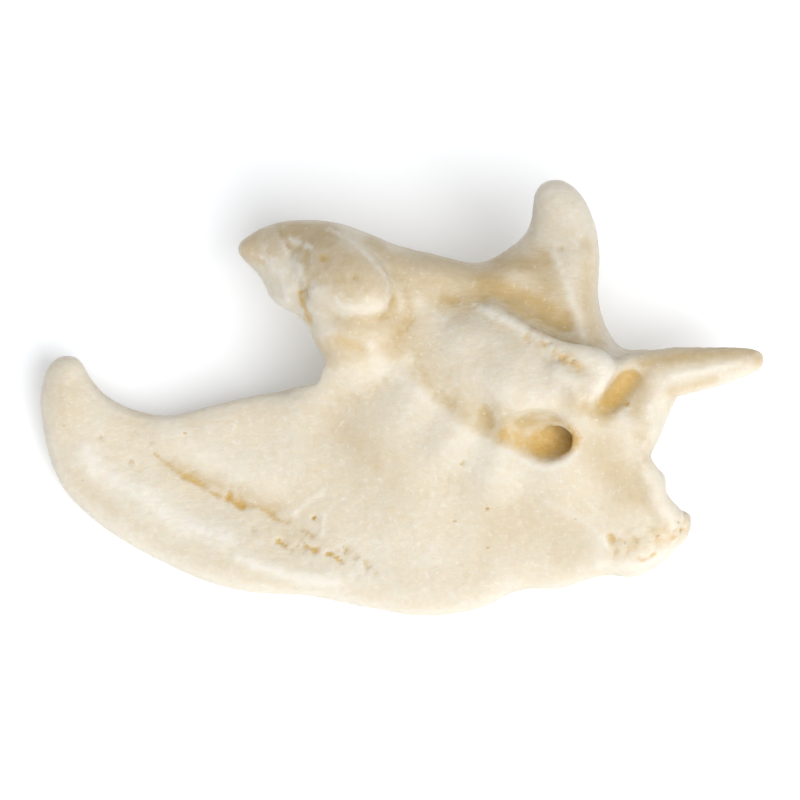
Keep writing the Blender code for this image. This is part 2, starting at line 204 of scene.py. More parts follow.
def facet_marks() -> list[Mark]:
    """The rim of the facet, the crust beside the dens and the brow below.

    Returns:
        The marks round the front joint.
    """
    rim = ((-6.0, 14.4), (-3.8, 13.2), (-2.5, 11.9), (-1.1, 10.2), (-0.8, 9.2), (-1.1, 7.8))
    crust = ((-9.9, 13.4), (-9.2, 11.9), (-8.3, 11.1), (-8.8, 10.0), (-8.5, 9.0))
    return [
        Mark("gutter behind the rim", ((-2.4, 13.4), (-0.6, 11.8), (0.5, 9.6), (0.9, 6.8)), 0.9, -0.16,
             tan=0.65),
        Mark("line of the rim", rim, 0.25, 0.03, chalk=0.5, ragged=0.5, broken=0.5),
        Mark("lower lip", ((-6.2, 7.6), (-4.2, 7.8), (-1.7, 8.0)), 0.75, 0.02, chalk=0.35, tan=0.2,
             ragged=0.6, broken=0.2),
        Mark("crust", crust[::-1], 2.4, 0.12, Profile.STEP, chalk=0.3, ragged=0.5),
        Mark("flaky field on the dens", ((-11.0, 12.6), (-10.2, 10.6), (-9.4, 9.0)), 1.3, 0.03, chalk=0.7,
             ragged=0.8, broken=0.9),
        Mark("crust edge", crust, 0.34, 0.06, Profile.SHARP, chalk=1.0, ragged=1.0, broken=0.4),
        Mark("chips on the crust", ((-9.4, 13.6), (-7.6, 12.9)), 0.42, 0.06, Profile.SHARP, chalk=1.0,
             ragged=1.0, broken=0.6),
        Mark("flaky lines on the dens", ((-12.2, 12.3), (-10.8, 11.5)), 0.40, 0.04, Profile.SHARP,
             chalk=0.8, ragged=1.0, broken=0.7),
        Mark("fold beside the crust", ((-8.0, 12.6), (-7.7, 10.6), (-7.9, 8.8)), 0.55, -0.14, ochre=0.26,
             tan=0.5, broken=0.3),
        Mark("yellow pit", ((-8.4, 8.9),), 0.60, -0.12, ochre=0.66, ragged=0.9),
        Mark("yellow run", ((-8.3, 8.6), (-7.9, 7.6), (-7.6, 6.6)), 0.55, -0.06, ochre=0.50, ragged=0.8),
        Mark("facet pit", ((-6.5, 11.9),), 0.60, -0.14, ochre=0.50, ragged=0.6),
        Mark("facet pin hole", ((-3.8, 10.3),), 0.40, -0.10, ochre=0.30),
        # Facet face and dens: their tan is partly stain and partly painted shade on faces turned away from
        # the light.
        Mark("facet face", ((-7.0, 11.6), (-4.4, 10.6), (-2.6, 9.8)), 2.4, 0.0, Profile.FLAT, tan=0.72,
             ochre=0.10, ragged=0.4),
        Mark("dens", ((-12.6, 12.9), (-9.8, 13.6), (-6.4, 13.8)), 1.8, 0.0, Profile.FLAT, tan=0.85,
             ochre=0.15),
        Mark("brow field", ((-6.4, 5.9),), 1.1, 0.0, chalk=0.7, ragged=0.5),
        # Brow cover: its tan is partly stain and partly painted shade that darkens the brow.
        Mark("brow cover", ((-5.6, 4.4), (-2.2, 5.8), (-0.6, 5.0)), 2.2, 0.0, Profile.FLAT, tan=0.68),
        Mark("brow stain", ((-5.2, 5.0), (-3.2, 4.3)), 0.8, -0.06, ochre=0.30, ragged=0.8),
        Mark("notch corner", ((-6.3, 3.9), (-5.6, 2.6)), 0.7, -0.06, ochre=0.22, chalk=0.3),
    ]


def body_marks() -> list[Mark]:
    """The crease, the crests and the hollows of the body and the keel.

    Returns:
        The marks on the middle of the bone.
    """
    crest = ((6.8, 7.8), (9.1, 6.5), (11.1, 5.6), (13.9, 3.7))
    keel_ridge = ((13.0, 12.5), (13.7, 10.9), (14.4, 8.5), (15.1, 7.1), (15.3, 5.3))
    return [
        # Crease and broad crease: their tan is partly stain and partly painted shade in the fold.
        Mark("crease", ((-0.8, 8.6), (-0.2, 7.4), (1.0, 5.1), (1.8, 2.5), (3.1, 0.6), (5.4, -1.3),
             (7.4, -2.4)), 1.2, -0.07, tan=0.66, ochre=0.05, ragged=0.5, broken=0.2),
        Mark("broad crease", ((0.8, 7.0), (2.0, 3.4), (3.8, 0.6), (6.4, -1.4)), 2.0, -0.04, tan=0.42),
        Mark("edge of the arch", ((-2.4, 4.6), (-1.2, 2.6), (1.2, 1.0), (3.6, -1.2), (6.0, -3.2),
             (8.4, -4.4)), 0.9, 0.05, chalk=0.4, ragged=0.3),
        # Neck: its tan is partly the bone's tone and partly painted shade on a face turned away from the
        # light.
        Mark("neck", ((1.5, 10.6), (5.0, 10.0)), 2.8, 0.0, Profile.FLAT, tan=0.66),
        # Tan hollow and foot of the keel: their tan is partly stain and partly painted shade in the valley
        # between keel and crest.
        Mark("tan hollow", ((7.2, 9.8), (10.2, 8.6), (13.4, 6.8)), 2.3, -0.14, tan=1.0, ochre=0.28),
        Mark("foot of the keel", ((8.6, 11.6), (11.2, 11.2), (12.4, 9.4)), 1.8, 0.0, tan=0.85, ochre=0.12),
        Mark("stain in the hollow", ((9.6, 7.6), (10.8, 7.0)), 0.8, 0.0, ochre=0.40, ragged=0.8),
        Mark("crest", crest, 0.36, 0.05, Profile.ROUND, chalk=1.0, ragged=0.8, broken=0.5),
        Mark("pores along the crest", ((10.9, 5.5), (12.6, 4.5), (14.8, 2.7)), 0.85, -0.08, ochre=0.46,
             pores=1.0, ragged=1.0, broken=0.5),
        # Upper foot of the crest: its tan is partly stain and partly painted shade in the hollow above the
        # crest.
        Mark("upper foot of the crest", ((8.0, 8.1), (11.4, 6.5), (15.0, 4.8)), 1.0, 0.30, tan=0.6),
        Mark("lower foot of the tip", ((13.4, 2.4), (14.6, 1.6), (14.8, 0.2)), 1.1, 0.40, tan=0.15),
        Mark("bright tip", ((15.0, 3.7), (17.4, 3.1), (16.2, 1.2)), 1.0, 0.0, Profile.FLAT, chalk=0.2,
             ragged=0.4),
        Mark("edge of the tip", ((18.2, 3.1), (17.2, 1.7), (16.0, 0.1)), 0.32, 0.03, chalk=0.30,
             broken=0.3),
        # Side hollow and its fading side: the tan and ochre are partly stain and partly painted shade under
        # the tip of the crest.
        Mark("side hollow", ((19.2, 2.0), (18.2, 0.4), (17.2, -0.4)), 1.2, -0.40, ochre=0.48, tan=0.7),
        Mark("fading side of the hollow", ((20.6, 2.6), (19.9, -0.6)), 1.3, -0.28, tan=0.6, ochre=0.16),
        # Lee of the keel ridge: its tan is partly stain and partly painted shade beside the ridge.
        Mark("lee of the keel ridge", ((11.8, 12.4), (12.8, 9.6), (13.8, 6.6)), 1.5, -0.08, tan=0.65),
        Mark("keel ridge", keel_ridge, 0.42, 0.08, chalk=0.35, broken=0.3),
        Mark("top of the keel", ((12.9, 17.4), (13.4, 14.4)), 2.2, 0.0, tan=0.12),
        Mark("keel spot", ((13.6, 12.8),), 0.45, -0.08, ochre=0.30, side=Side.NEAR),
        # Keel face: its tan is partly stain and partly painted shade on a face in shade.
        Mark("keel face", ((15.8, 13.0), (15.9, 8.0), (16.6, 5.0)), 1.3, -0.06, tan=0.55),
        Mark("body swell", ((5.0, 2.2), (9.5, 1.4), (12.6, 0.4)), 2.4, 0.14, chalk=0.12),
        # Bridge: its tan is partly stain and partly painted shade.
        Mark("bridge", ((14.8, -0.2), (17.2, -1.3)), 1.3, 0.0, tan=0.85, ochre=0.08),
        Mark("bridge stain", ((16.2, -1.2), (17.9, -0.8)), 0.6, -0.10, ochre=0.30, ragged=0.5),
        # Mouth and inside of the side canal: tan and ochre are partly stain and partly painted shade under
        # the overhang; the ochre inside is also a painted glow of light through the bone.
        Mark("upper side of the mouth", ((7.6, -1.4), (10.4, -1.6), (13.2, -1.2)), 1.6, -0.46, tan=0.35),
        Mark("mouth of the side canal", ((8.4, -2.0), (10.6, -2.4), (13.0, -2.1)), 0.8, -0.10, tan=0.6,
             ochre=0.16),
        Mark("front of the side canal", ((8.8, -3.0), (11.2, -3.9)), 1.3, 0.0, ochre=0.52, tan=0.6),
        Mark("inside of the side canal", ((11.8, -3.8), (14.2, -3.2)), 1.6, 0.0, ochre=0.80),
        Mark("lip of the side canal", ((8.3, -3.9), (9.8, -4.8), (11.0, -5.4), (12.2, -5.7), (13.7, -5.3),
             (14.9, -4.4), (15.3, -3.4), (14.9, -2.4)), 0.4, 0.05, chalk=0.3, ragged=0.3),
    ]


def rear_marks() -> list[Mark]:
    """The plate behind the side canal, the rear process and the porous end.

    Returns:
        The marks at the tail end.
    """
    return [
        # Process upper face: its tan is partly stain and partly painted shade on the face turned away from
        # the light.
        Mark("process upper face", ((20.4, 3.2), (24.4, 3.8), (29.4, 4.1)), 1.2, 0.0, tan=0.95),
        Mark("process ridge", ((22.8, 2.0), (25.4, 2.5), (28.6, 3.2)), 0.42, 0.06, chalk=0.25),
        Mark("process lower face", ((22.8, 0.7), (24.4, 1.1), (26.4, 1.7)), 0.8, -0.05, ochre=0.26,
             tan=0.4),
        Mark("process tip", ((30.0, 3.4),), 1.0, 0.08, tan=0.9),
        Mark("plate", ((17.6, -4.6), (19.4, -7.8)), 2.8, 0.0, tan=0.60),
        Mark("plate stain", ((20.4, -2.4), (20.4, -5.6)), 1.1, 0.0, tan=0.6, ochre=0.10, ragged=0.6,
             broken=0.4),
        Mark("porous end", ((18.4, -12.6), (21.4, -11.6), (23.8, -10.6)), 1.8, -0.05, pores=1.0,
             ochre=0.34, tan=0.15, ragged=0.9, broken=0.4),
        Mark("hole in the porous end", ((17.9, -11.8),), 0.46, -0.18, ochre=0.60, ragged=1.0),
        Mark("slit in the porous end", ((20.4, -13.4), (21.4, -13.0)), 0.42, -0.10, ochre=0.45, ragged=1.0,
             broken=0.7),
        Mark("crack in the porous end", ((22.6, -12.0), (24.0, -11.0)), 0.40, -0.10, ochre=0.45,
             ragged=1.0, broken=0.7),
        Mark("rim of the porous end", ((17.0, -13.8), (20.0, -14.0), (23.2, -12.6)), 0.7, 0.12, chalk=0.35),
        Mark("warm field of the arch", ((8.6, -10.4), (12.4, -10.8)), 4.2, 0.0, tan=0.28),
        Mark("faint line on the arch", ((12.4, -8.6), (15.6, -10.2), (17.4, -12.2)), 0.5, 0.04, chalk=0.30),
        Mark("dent by the hollow", ((19.0, -0.2),), 0.22, -0.14, ochre=0.9, side=Side.NEAR),
        Mark("dent on the arch", ((7.4, -9.2),), 0.22, -0.14, ochre=0.85, side=Side.NEAR),
        Mark("dent above it", ((5.2, -5.4),), 0.26, -0.10, ochre=0.45, side=Side.NEAR),
    ]


Rule = tuple[float, float, float]


@dataclass(frozen=True)
class WeatheringAndShade:
    """How the bone's own form stains it and paints shade into it.

    A rule holds where a stain starts, where it is full, and how strong it is.
    """

    edge_blur: int = 10
    swell_blur: int = 108
    depth_blur: int = 3
    tan_cover: float = 0.75
    chalk_on_edges: Rule = (0.012, 0.05, 0.4)
    chalk_on_swells: Rule = (0.05, 0.45, 0.18)
    no_chalk_in_depth: Rule = (0.35, 0.7, 0.8)
    # Tan and ochre in folds, depth and dips: partly stain, partly painted shade where shade falls.
    tan_and_painted_shade_in_folds: Rule = (0.008, 0.05, 0.35)
    tan_and_painted_shade_in_depth: Rule = (0.30, 0.70, 0.75)
    tan_and_painted_shade_in_dips: Rule = (0.03, 0.35, 0.30)
    ochre_and_painted_shade_in_depth: Rule = (0.62, 0.95, 0.55)
    ochre_and_painted_shade_in_folds: Rule = (0.05, 0.14, 0.25)


@dataclass
class BoneSkin:
    """The visible surface of the bone."""

    pose: Matrix
    voxel_mm: float = 0.255
    smooth_steps: int = 5
    roll_mm: float = 0.08
    roll_scale_mm: float = 4.2
    lump_mm: float = 0.03
    lump_scale_mm: float = 1.3
    grit_mm: float = 0.022
    grit_scale_mm: float = 0.55
    shade_rays: int = 12
    shade_reach_mm: float = 6.0
    shade_start_mm: float = 0.12
    relief_from: float = 0.02
    relief_over: float = 0.35
    stain_from: float = -0.45
    stain_over: float = 0.5
    weathering_and_shade: WeatheringAndShade = WeatheringAndShade()
    marks: list[Mark] = field(default_factory=list)

    def rough_out(self) -> bpy.types.Object:
        """Copy the solid, merge it, and rebuild it finer and without its flats.

        Returns:
            The new object, with its place in its mesh.
        """
        mesh = bpy.data.objects[NODE].data.copy()
        mesh.name = "bone_surface"
        shape = bmesh.new()
        shape.from_mesh(mesh)
        bmesh.ops.remove_doubles(shape, verts=shape.verts, dist=1e-6)
        shape.to_mesh(mesh)
        shape.free()
        mesh.materials.clear()
        skin = bpy.data.objects.new("bone_surface", mesh)
        bpy.context.scene.collection.objects.link(skin)
        remesh = skin.modifiers.new("even grid", "REMESH")
        remesh.mode = "VOXEL"
        remesh.voxel_size = self.voxel_mm * MM
        smooth = skin.modifiers.new("smooth", "SMOOTH")
        smooth.factor = 0.5
        smooth.iterations = self.smooth_steps
        settle(skin)
        return skin

    def work(self, skin: bpy.types.Object) -> None:
        """Raise, sink and stain the surface by its marks, and paint shade where marks carry it.

        Args:
            skin: The fine surface.
        """
        mesh = skin.data
        count = len(mesh.vertices)
        world = read_vectors(mesh.vertices, "co", count)
        normals = read_vectors(mesh.vertex_normals, "vector", count)
        inverse = np.array(self.pose.inverted())
        local = (world @ inverse[:3, :3].T + inverse[:3, 3]) / MM
        facing = (normals @ inverse[:3, :3].T)[:, 2] * np.sign(local[:, 2])
        raised = np.clip((facing - self.relief_from) / self.relief_over, 0.0, 1.0)
        stained = np.clip((facing - self.stain_from) / self.stain_over, 0.0, 1.0)
        lift = self.unevenness(local)
        stains_and_shade = {name: np.zeros(count) for name in STAINS_AND_SHADE}
        for number, mark in enumerate(self.marks):
            strength = self.strength_of(mark, local, number)
            if mark.side is Side.NEAR:
                strength = strength * (local[:, 2] > 0.0)
            lift += strength * raised * mark.lift
            for name, layer in stains_and_shade.items():
                np.maximum(layer, strength * stained * getattr(mark, name), out=layer)
        world = world + normals * (lift * MM)[:, None]
        mesh.vertices.foreach_set("co", world.ravel())
        mesh.update()
        normals = read_vectors(mesh.vertex_normals, "vector", count)
        self.weather_and_shade(mesh, world, normals, stains_and_shade)
        for name, layer in stains_and_shade.items():
            attribute = mesh.attributes.new(name, "FLOAT", "POINT")
            attribute.data.foreach_set("value", np.clip(layer, 0.0, 1.0).astype(np.float32))
        mesh.update()

    def weather_and_shade(self, mesh: bpy.types.Mesh, world: np.ndarray, normals: np.ndarray,
                stains_and_shade: dict[str, np.ndarray]) -> None:
        """Stain what lies deep, paint shade into it, and whiten what stands proud.

        Args:
            mesh: The worked mesh.
            world: The places of its vertices, in metres.
            normals: Their normals.
            stains_and_shade: The layers of stain and painted shade, which are changed.
        """
        edges = np.empty(len(mesh.edges) * 2, dtype=np.int64)
        mesh.edges.foreach_get("vertices", edges)
        edges = edges.reshape(-1, 2)
        rules = self.weathering_and_shade
        proud = ((world - blurred(world, edges, rules.edge_blur)) * normals).sum(axis=1) / MM
        swell = ((world - blurred(world, edges, rules.swell_blur)) * normals).sum(axis=1) / MM
        depth = blurred(self.occlusion(mesh, world, normals)[:, None], edges, rules.depth_blur)[:, 0]
        covered = 1.0 - rules.tan_cover * np.clip(stains_and_shade["tan"], 0.0, 1.0)
        stains_and_shade["chalk"] += (ruled(proud, rules.chalk_on_edges)
                            + ruled(swell, rules.chalk_on_swells)) * covered
        stains_and_shade["chalk"] *= 1.0 - ruled(depth, rules.no_chalk_in_depth)
        # Tan and ochre in folds, depth and dips are partly painted shade.
        stains_and_shade["tan"] += ruled(-proud, rules.tan_and_painted_shade_in_folds) + ruled(depth, rules.tan_and_painted_shade_in_depth)
        stains_and_shade["tan"] += ruled(-swell, rules.tan_and_painted_shade_in_dips)
        stains_and_shade["ochre"] += ruled(depth, rules.ochre_and_painted_shade_in_depth) + ruled(-proud, rules.ochre_and_painted_shade_in_folds)

    def occlusion(self, mesh: bpy.types.Mesh, world: np.ndarray, normals: np.ndarray) -> np.ndarray:
        """How much of the open air the bone hides from each of its own places.

        Args:
            mesh: The worked mesh.
            world: The places of its vertices, in metres.
            normals: Their normals.

        Returns:
            Shares from 0 to 1.
        """
        tree = BVHTree.FromPolygons(world.tolist(), [tuple(face.vertices) for face in mesh.polygons])
        spiral = []
        for index in range(self.shade_rays):
            height = math.sqrt(1.0 - (index + 0.5) / self.shade_rays)
            turn = index * GOLDEN_TURN
            flat = math.sqrt(1.0 - height * height)
            spiral.append((flat * math.cos(turn), flat * math.sin(turn), height))
        helper = np.where(np.abs(normals[:, 2:3]) < 0.9, (0.0, 0.0, 1.0), (1.0, 0.0, 0.0))
        side = np.cross(helper, normals)
        side /= np.linalg.norm(side, axis=1, keepdims=True)
        other = np.cross(normals, side)
        hidden = np.zeros(len(world))
        origins = (world + normals * self.shade_start_mm * MM).tolist()
        reach = self.shade_reach_mm * MM
        for across, along, up in spiral:
            rays = (side * across + other * along + normals * up).tolist()
            for index, (origin, ray) in enumerate(zip(origins, rays)):
                if tree.ray_cast(origin, ray, reach)[0] is not None:
                    hidden[index] += 1.0
        return hidden / self.shade_rays

    def unevenness(self, local: np.ndarray) -> np.ndarray:
        """Slow swells and fine grit, so that no part is machined smooth.

        Args:
            local: Places in the bone's frame, in millimetres.

        Returns:
            How far each place is lifted, in millimetres.
        """
        result = np.empty(len(local))
        for index, place in enumerate(local):
            spot = Vector(place)
            slow = noise.noise(spot / self.roll_scale_mm + Vector((3.1, 7.7, 1.9)))
            lump = noise.noise(spot / self.lump_scale_mm + Vector((9.4, 2.2, 5.6)))
            fine = noise.fractal(spot / self.grit_scale_mm, 0.9, 2.0, 3)
            result[index] = slow * self.roll_mm + lump * self.lump_mm + fine * self.grit_mm
        return result

    def strength_of(self, mark: Mark, local: np.ndarray, number: int) -> np.ndarray:
        """How strongly a mark acts at each place.

        Args:
            mark: The mark.
            local: Places in the bone's frame, in millimetres.
            number: The mark's number, which shifts its wandering.

        Returns:
            Strengths from 0 to 1.
        """
        gap, left = distance_to_line(local[:, :2], mark.line)
        near = np.nonzero(gap < mark.radius * MARK_REACH)[0]
        strength = np.zeros(len(local))
        if len(near) == 0:
            return strength
        shift = Vector((number * 5.3, number * 1.7, 0.0))
        scale = max(mark.radius * 1.5, 0.4)
        wander = np.array([noise.noise(Vector(local[i]) / scale + shift) for i in near])
        share = gap[near] / (mark.radius * (1.0 + mark.ragged * wander))
        if mark.profile is Profile.ROUND:
            value = np.exp(-ROUND_FALL * share ** 2)
        elif mark.profile is Profile.SHARP:
            value = np.clip(1.0 - share, 0.0, 1.0) ** SHARP_POWER
        elif mark.profile is Profile.STEP:
            inside = left[near] * gap[near] + mark.ragged * wander * 0.9
            value = np.exp(-STEP_FALL * (gap[near] / mark.radius) ** 2) * ramp(inside, -0.10, 0.16)
        else:
            value = 1.0 / (1.0 + np.exp((share - FLAT_EDGE) * FLAT_HARDNESS))
        if mark.broken > 0.0:
            drift = np.array([noise.noise(Vector(local[i]) / GAP_SCALE_MM - shift) for i in near])
            value = value * (1.0 - mark.broken * ramp(drift, -0.15, 0.20))
        strength[near] = value
        return strength


def settle(item: bpy.types.Object) -> None:
    """Turn the evaluated object into a plain mesh and drop its modifiers.

    Args:
        item: A mesh object.
    """
    bpy.context.view_layer.update()
    graph = bpy.context.evaluated_depsgraph_get()
    mesh = bpy.data.meshes.new_from_object(item.evaluated_get(graph))
    item.modifiers.clear()
    item.data = mesh


def read_vectors(items: bpy.types.bpy_prop_collection, name: str, count: int) -> np.ndarray:
    """Read one vector of each item into an array of rows.

    Args:
        items: Vertices or normals.
        name: The vector's name.
        count: How many items there are.

    Returns:
        An array of count rows and 3 columns.
    """
    flat = np.empty(count * 3)
    items.foreach_get(name, flat)
    return flat.reshape(-1, 3)


def distance_to_line(places: np.ndarray,
                     line: tuple[tuple[float, float], ...]) -> tuple[np.ndarray, np.ndarray]:
    """How far each place is from a line of points, and on which side of it.

    Args:
        places: Rows of U and V.
        line: The line's points; one point is a spot.

    Returns:
        The distances, and 1 on the line's left or -1 on its right.
    """
    points = [np.array(point) for point in line]
    nearest = np.linalg.norm(places - points[0], axis=1)
    left = np.ones(len(places))
    for start, end in zip(points, points[1:]):
        step = end - start
        offset = places - start
        share = np.clip(offset @ step / (step @ step), 0.0, 1.0)
        gap = np.linalg.norm(offset - share[:, None] * step, axis=1)
        nearer = gap < nearest
        turn = np.sign(step[0] * offset[:, 1] - step[1] * offset[:, 0])
        left = np.where(nearer, turn, left)
        nearest = np.where(nearer, gap, nearest)
    return nearest, left


def blurred(values: np.ndarray, edges: np.ndarray, steps: int) -> np.ndarray:
    """Average values over neighbouring vertices, again and again.

    Args:
        values: One row for each vertex.
        edges: Pairs of neighbours.
        steps: How often.

    Returns:
        The averaged rows.
    """
    count = len(values)
    first = np.concatenate((edges[:, 0], edges[:, 1]))
    second = np.concatenate((edges[:, 1], edges[:, 0]))
    degree = np.bincount(first, minlength=count)[:, None]
    result = values.copy()
    for _ in range(steps):
        total = np.stack(
            [np.bincount(first, weights=column[second], minlength=count) for column in result.T], axis=1)
        result = 0.5 * result + 0.5 * total / degree
    return result


def ramp(values: np.ndarray, low: float, high: float) -> np.ndarray:
    """A soft step from 0 at low to 1 at high."""
    share = np.clip((values - low) / (high - low), 0.0, 1.0)
    return share * share * (3.0 - 2.0 * share)


def ruled(values: np.ndarray, rule: Rule) -> np.ndarray:
    """The soft step of a rule, times its strength."""
    return ramp(values, rule[0], rule[1]) * rule[2]


@dataclass(frozen=True)
class Board:
    """A node tree, with short ways to add its nodes and to join them."""

    tree: bpy.types.NodeTree
    enter: bpy.types.Node | None = None
    leave: bpy.types.Node | None = None

    def feed(self, socket: bpy.types.NodeSocket, value: object) -> None:
        """Join a socket to another one, or set its value.

        Args:
            socket: An input.
            value: The output that goes into it, or its value.
        """
        if isinstance(value, bpy.types.NodeSocket):
            self.tree.links.new(value, socket)
        else:
            socket.default_value = value

    def add(self, kind: str, feeds: dict | None = None, **settings: object) -> bpy.types.Node:
        """Add a node.

        Args:
            kind: Its type.
            feeds: What goes into its inputs, by their names or numbers.
            settings: The values of its properties.

        Returns:
            The node.
        """
        node = self.tree.nodes.new(kind)
        for name, value in settings.items():
            setattr(node, name, value)
        for name, value in (feeds or {}).items():
            self.feed(node.inputs[name], value)
        return node

    def given(self, name: str) -> bpy.types.NodeSocket:
        """One of the group's own inputs."""
        return self.enter.outputs[name]

    def math(self, operation: str, *values: object) -> bpy.types.NodeSocket:
        """Work out a number from sockets or plain numbers."""
        return self.add("ShaderNodeMath", dict(enumerate(values)), operation=operation).outputs[0]

    def noise(self, place: bpy.types.NodeSocket, scale: object, detail: float,
              rough: float) -> bpy.types.NodeSocket:
        """Add noise.

        Args:
            place: Where it is read.
            scale: Its scale, as a socket or a number.
            detail: Its detail.
            rough: Its roughness.

        Returns:
            The socket with its value.
        """
        feeds = {"Vector": place, "Scale": scale, "Detail": detail, "Roughness": rough}
        return self.add("ShaderNodeTexNoise", feeds).outputs["Fac"]

    def spread(self, value: bpy.types.NodeSocket, low: float, high: float, to_low: float,
               to_high: float) -> bpy.types.NodeSocket:
        """Map a value smoothly from one range to another.

        Args:
            value: The value.
            low: Where its range starts.
            high: Where its range ends.
            to_low: What the start becomes.
            to_high: What the end becomes.

        Returns:
            The socket with the new value.
        """
        feeds = {"Value": value, "From Min": low, "From Max": high, "To Min": to_low, "To Max": to_high}
        return self.add("ShaderNodeMapRange", feeds, interpolation_type="SMOOTHSTEP").outputs["Result"]

    def mix(self, share: bpy.types.NodeSocket, first: bpy.types.NodeSocket,
            second: bpy.types.NodeSocket) -> bpy.types.NodeSocket:
        """Mix two colours.

        Args:
            share: How much of the second is used.
            first: The first colour.
            second: The second colour.

        Returns:
            The socket with the mixed colour.
        """
        feeds = {"Factor": share, 6: first, 7: second}
        return self.add("ShaderNodeMix", feeds, data_type="RGBA").outputs[2]

    def random(self, least: float, most: float, feeds: dict | None = None) -> bpy.types.NodeSocket:
        """Draw a number for each point.

        Args:
            least: The least that it can be.
            most: The most that it can be.
            feeds: What goes into the node's other inputs.

        Returns:
            The socket with the number.
        """
        feeds = {2: least, 3: most, **(feeds or {})}
        return self.add("FunctionNodeRandomValue", feeds, data_type="FLOAT").outputs[1]

    def spongy(self) -> bpy.types.NodeSocket:
        """How spongy the bone is at each place."""
        return self.add("GeometryNodeInputNamedAttribute", {"Name": "pores"},
                        data_type="FLOAT").outputs["Attribute"]

    def scatter(self, share: bpy.types.NodeSocket) -> bpy.types.Node:
        """Scatter points over the geometry that comes in.

        Args:
            share: How much of the group's Density each place gets.

        Returns:
            The node that gives the points.
        """
        density = self.math("MULTIPLY", share, self.given("Density"))
        feeds = {"Mesh": self.given("Geometry"), "Density": density, "Seed": self.given("Seed")}
        return self.add("GeometryNodeDistributePointsOnFaces", feeds, distribute_method="RANDOM")

    def finish(self, source: bpy.types.NodeSocket) -> bpy.types.NodeTree:
        """End a geometry tree in Realize Instances and Set Material.

        Args:
            source: The socket with the finished geometry.

        Returns:
            The tree.
        """
        real = self.add("GeometryNodeRealizeInstances", {"Geometry": source})
        feeds = {"Geometry": real.outputs["Geometry"], "Material": self.given("Material")}
        paint = self.add("GeometryNodeSetMaterial", feeds)
        self.feed(self.leave.inputs["Geometry"], paint.outputs["Geometry"])
        return self.tree


def new_board(name: str, kind: str, inputs: tuple, outputs: tuple) -> Board:
    """Make a node group with its sockets.

    Args:
        name: The group's name.
        kind: The type of its tree.
        inputs: The name and kind of each input and, where it has one, its value.
        outputs: The name and kind of each output.

    Returns:
        A board with the group's input and output nodes.
    """
    tree = bpy.data.node_groups.new(name, kind)
    for direction, rows in (("INPUT", inputs), ("OUTPUT", outputs)):
        for word, sort, *value in rows:
            socket = tree.interface.new_socket(word, in_out=direction, socket_type=f"NodeSocket{sort}")
            if value:
                socket.default_value = value[0]
    return Board(tree, tree.nodes.new("NodeGroupInput"), tree.nodes.new("NodeGroupOutput"))


def geometry_board(name: str, seed: int, sizes: dict[str, float]) -> Board:
    """Make a Geometry Nodes group that scatters something.

    Args:
        name: The group's name.
        seed: The seed of its scatter.
        sizes: Its own number inputs and their values.

    Returns:
        The board.
    """
    numbers = tuple((word, "Float", value) for word, value in sizes.items())
    inputs = (("Geometry", "Geometry"),) + numbers + (("Seed", "Int", seed), ("Material", "Material"))
    return new_board(name, "GeometryNodeTree", inputs, (("Geometry", "Geometry"),))


@dataclass(frozen=True)
class PoreCutter:
    """Pores scattered over the spongy fields by Geometry Nodes."""

    density: float = 2.6e6
    radius_mm: float = 0.36
    depth_mm: float = 0.17
    least_reach: float = 0.45
    most_reach: float = 1.25
    flat_floor: float = 0.25
    seed: int = SEED

    def tree(self) -> bpy.types.GeometryNodeTree:
        """Build the tree that sinks a pit at each scattered point.

        Returns:
            The tree, with inputs for its sizes.
        """
        sizes = {"Density": self.density, "Radius": self.radius_mm * MM, "Depth": self.depth_mm * MM}
        board = geometry_board("Pores in spongy bone", self.seed, sizes)
        mask = board.spongy()
        points = board.scatter(mask).outputs["Points"]
        place = board.add("GeometryNodeInputPosition").outputs[0]
        nearest = board.add("GeometryNodeSampleNearest", {"Geometry": points},
                            domain="POINT").outputs["Index"]
        feeds = {"Geometry": points, "Value": place, "Index": nearest}
        centre = board.add("GeometryNodeSampleIndex", feeds, data_type="FLOAT_VECTOR").outputs["Value"]
        gap = board.add("ShaderNodeVectorMath", {0: place, 1: centre},
                        operation="DISTANCE").outputs["Value"]
        chance = board.random(self.least_reach, self.most_reach, {"ID": nearest})
        reach = board.math("MULTIPLY", board.given("Radius"), chance)
        pit = board.spread(board.math("DIVIDE", gap, reach), self.flat_floor, 1.0, 1.0, 0.0)
        masked = board.math("MULTIPLY", pit, mask)
        depth = board.math("MULTIPLY", masked, board.given("Depth"))
        normal = board.add("GeometryNodeInputNormal").outputs[0]
        feeds = {0: normal, "Scale": board.math("MULTIPLY", depth, -1.0)}
        offset = board.add("ShaderNodeVectorMath", feeds, operation="SCALE").outputs["Vector"]
        feeds = {"Name": "pit", "Geometry": board.given("Geometry"), "Value": masked}
        store = board.add("GeometryNodeStoreNamedAttribute", feeds, data_type="FLOAT", domain="POINT")
        feeds = {"Geometry": store.outputs["Geometry"], "Offset": offset}
        return board.finish(board.add("GeometryNodeSetPosition", feeds).outputs["Geometry"])


